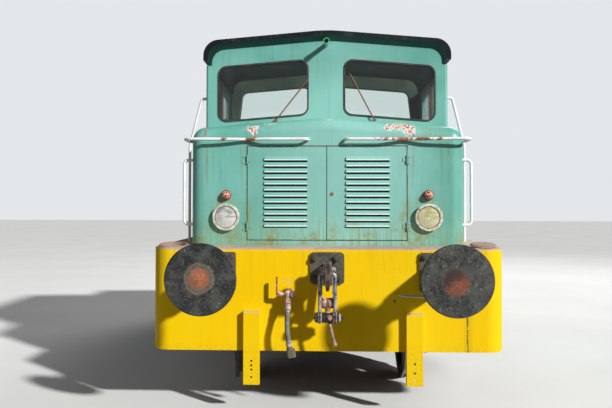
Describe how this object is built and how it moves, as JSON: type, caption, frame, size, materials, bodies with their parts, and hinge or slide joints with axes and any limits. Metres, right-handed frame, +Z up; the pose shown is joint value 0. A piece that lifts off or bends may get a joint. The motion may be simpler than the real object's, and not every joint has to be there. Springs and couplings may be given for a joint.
{
  "type": "two-axle diesel shunting locomotive",
  "caption": "Small rigid-frame diesel shunter: cab between a short and a long hood, yellow beams with side buffers, screw couplings, sprung axles, opening doors.",
  "frame": {"origin": "middle of the locomotive, at the lowest point of the wheel flanges", "axes": "+X across, to the right seen from the short hood end; -Y forwards, over the short hood; +Z up"},
  "size_m": [2.716, 6.14, 3.1245],
  "materials": {
    "frame_paint": "matt black paint, oily and dusty",
    "beam_paint": "yellow paint, scratched, rust at the edges",
    "deck_paint": "worn dark paint, rusty edge",
    "spring_steel": "dark oily steel",
    "lid_iron": "brown rusty iron",
    "draw_iron": "grey-brown worn iron",
    "buffer_iron": "scuffed black, rust round the middle",
    "hose_rubber": "dull grey-black rubber",
    "body_paint": "faded teal green paint, stains and rust streaks",
    "window_glass": "clear, dusty",
    "seal_rubber": "black rubber",
    "roof_paint": "dark green paint",
    "lamp_paint": "chipped pale grey paint",
    "lens_glass": "ribbed lamp glass",
    "marker_red": "weathered red lens",
    "rail_paint": "white paint with rust",
    "wiper_steel": "rusty thin steel",
    "horn_paint": "light green paint",
    "exhaust_steel": "sooty steel",
    "engine_paint": "grey paint, oily",
    "battery_case": "black cases",
    "desk_paint": "grey-green hammered paint",
    "seat_cover": "worn black cover",
    "wheel_steel": "rusty steel, bright tread",
    "axle_steel": "rusty dark steel"
  },
  "bodies": {
    "locomotive": {"frame_plates": "frame_paint", "frame_stretchers": "frame_paint", "buffer_beams": "beam_paint", "deck": "deck_paint", "axleboxes": "frame_paint", "leaf_springs": "spring_steel", "guard_posts": "beam_paint", "sand_boxes": "frame_paint", "sand_lids": "lid_iron", "brake_gear": "frame_paint", "gearbox": "frame_paint", "side_steps": "frame_paint", "tanks": "frame_paint", "buffer_housings": "draw_iron", "buffer_heads": "buffer_iron", "draw_gear": "draw_iron", "screw_couplings": "draw_iron", "brake_hose": "hose_rubber", "hose_coupling": "draw_iron", "brake_cocks": "draw_iron", "grab_rods": "draw_iron", "short_hood": "body_paint", "long_hood": "body_paint", "cab_end_walls": "body_paint", "cab_side_walls": "body_paint", "window_glass": "window_glass", "window_seals": "seal_rubber", "cab_roof": "roof_paint", "headlamp_rims": "lamp_paint", "headlamp_lenses": "lens_glass", "marker_lamps": "marker_red", "grab_bars": "rail_paint", "side_rails": "rail_paint", "wipers": "wiper_steel", "horn": "horn_paint", "exhaust": "exhaust_steel", "engine_block": "engine_paint", "battery_block": "battery_case", "control_desk": "desk_paint", "driver_seat": "seat_cover"},
    "front_wheelset": {"front_wheels": "wheel_steel", "front_axle": "axle_steel"},
    "rear_wheelset": {"rear_wheels": "wheel_steel", "rear_axle": "axle_steel"},
    "left_front_leaf": {"left_front_door": "body_paint"},
    "right_front_leaf": {"right_front_door": "body_paint"},
    "left_fore_leaf": {"left_fore_door": "body_paint"},
    "left_aft_leaf": {"left_aft_door": "body_paint"},
    "right_fore_leaf": {"right_fore_door": "body_paint"},
    "right_aft_leaf": {"right_aft_door": "body_paint"},
    "left_cab_leaf": {"left_cab_door": "body_paint", "left_door_glass": "window_glass"},
    "right_cab_leaf": {"right_cab_door": "body_paint", "right_door_glass": "window_glass"}
  },
  "joints": [
    {"name": "front_axle_turn", "type": "hinge", "parent": "locomotive", "child": "front_wheelset", "pos_m": [0, -1.25, 0.453], "axis": [1, 0, 0], "continuous": true},
    {"name": "rear_axle_turn", "type": "hinge", "parent": "locomotive", "child": "rear_wheelset", "pos_m": [0, 1.25, 0.453], "axis": [1, 0, 0], "continuous": true},
    {"name": "left_front_hinge", "type": "hinge", "parent": "locomotive", "child": "left_front_leaf", "pos_m": [-0.6515, -2.139, 1.306], "axis": [0, 0, -1], "range_deg": [0, 110]},
    {"name": "right_front_hinge", "type": "hinge", "parent": "locomotive", "child": "right_front_leaf", "pos_m": [0.6515, -2.139, 1.306], "axis": [0, 0, 1], "range_deg": [0, 110]},
    {"name": "left_fore_hinge", "type": "hinge", "parent": "locomotive", "child": "left_fore_leaf", "pos_m": [-1.128, 0.473, 1.306], "axis": [0, 0, 1], "range_deg": [0, 110]},
    {"name": "right_fore_hinge", "type": "hinge", "parent": "locomotive", "child": "right_fore_leaf", "pos_m": [1.128, 0.473, 1.306], "axis": [0, 0, -1], "range_deg": [0, 110]},
    {"name": "left_aft_hinge", "type": "hinge", "parent": "locomotive", "child": "left_aft_leaf", "pos_m": [-1.128, 1.827, 1.306], "axis": [0, 0, -1], "range_deg": [0, 110]},
    {"name": "right_aft_hinge", "type": "hinge", "parent": "locomotive", "child": "right_aft_leaf", "pos_m": [1.128, 1.827, 1.306], "axis": [0, 0, 1], "range_deg": [0, 110]},
    {"name": "left_cab_hinge", "type": "hinge", "parent": "locomotive", "child": "left_cab_leaf", "pos_m": [-1.109, -0.7165, 1.282], "axis": [0, 0, 1], "range_deg": [0, 95]},
    {"name": "right_cab_hinge", "type": "hinge", "parent": "locomotive", "child": "right_cab_leaf", "pos_m": [1.109, -0.7165, 1.282], "axis": [0, 0, -1], "range_deg": [0, 95]}
  ]
}
